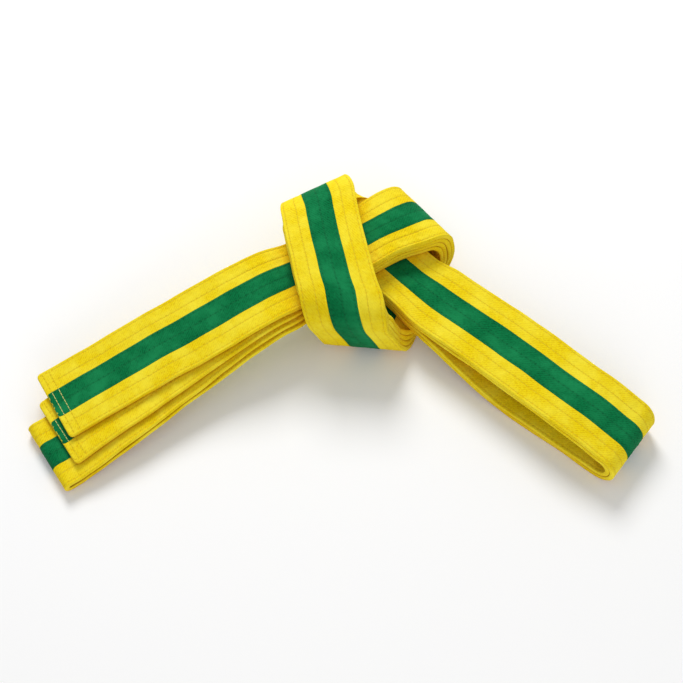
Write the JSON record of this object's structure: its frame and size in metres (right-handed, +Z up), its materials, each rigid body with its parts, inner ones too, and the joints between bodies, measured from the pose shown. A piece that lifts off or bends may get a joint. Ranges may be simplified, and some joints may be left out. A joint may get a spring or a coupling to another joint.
{
  "type": "martial arts belt",
  "caption": "Padded cotton martial arts belt with a contrast centre stripe, folded in layers and tied in a single overhand knot, lying flat.",
  "frame": {"origin": "middle of the outline, on the surface that the belt lies on", "axes": "+X from the tails to the looped end, +Y away from the viewer, +Z up"},
  "size_m": [0.3202, 0.1712, 0.045],
  "materials": {
    "cover_cotton": "matte cotton twill",
    "stripe_tape": "matte cotton twill tape",
    "padding": "raw cotton wadding",
    "thread_yellow": "spun polyester thread",
    "thread_green": "spun polyester thread",
    "thread_end_rows": "spun polyester thread"
  },
  "bodies": {
    "root": {"cover_upper_tail": "cover_cotton", "cover_knot_layer_1": "cover_cotton", "cover_outer_loop": "cover_cotton", "cover_knot_layer_4": "cover_cotton", "cover_left_fold": "cover_cotton", "cover_knot_layer_3": "cover_cotton", "cover_inner_loop": "cover_cotton", "cover_knot_layer_2": "cover_cotton", "cover_lower_tail": "cover_cotton", "padding": "padding", "stripe_front": "stripe_tape", "stripe_back": "stripe_tape", "needle_thread_1": "thread_yellow", "bobbin_thread_1": "thread_yellow", "needle_thread_2": "thread_yellow", "bobbin_thread_2": "thread_yellow", "needle_thread_3": "thread_green", "bobbin_thread_3": "thread_green", "needle_thread_4": "thread_green", "bobbin_thread_4": "thread_green", "needle_thread_5": "thread_green", "bobbin_thread_5": "thread_green", "needle_thread_6": "thread_yellow", "bobbin_thread_6": "thread_yellow", "needle_thread_7": "thread_yellow", "bobbin_thread_7": "thread_yellow", "upper_tail_row_1_needle": "thread_end_rows", "upper_tail_row_1_bobbin": "thread_end_rows", "upper_tail_row_2_needle": "thread_end_rows", "upper_tail_row_2_bobbin": "thread_end_rows", "lower_tail_row_1_needle": "thread_end_rows", "lower_tail_row_1_bobbin": "thread_end_rows", "lower_tail_row_2_needle": "thread_end_rows", "lower_tail_row_2_bobbin": "thread_end_rows"}
  },
  "joints": []
}
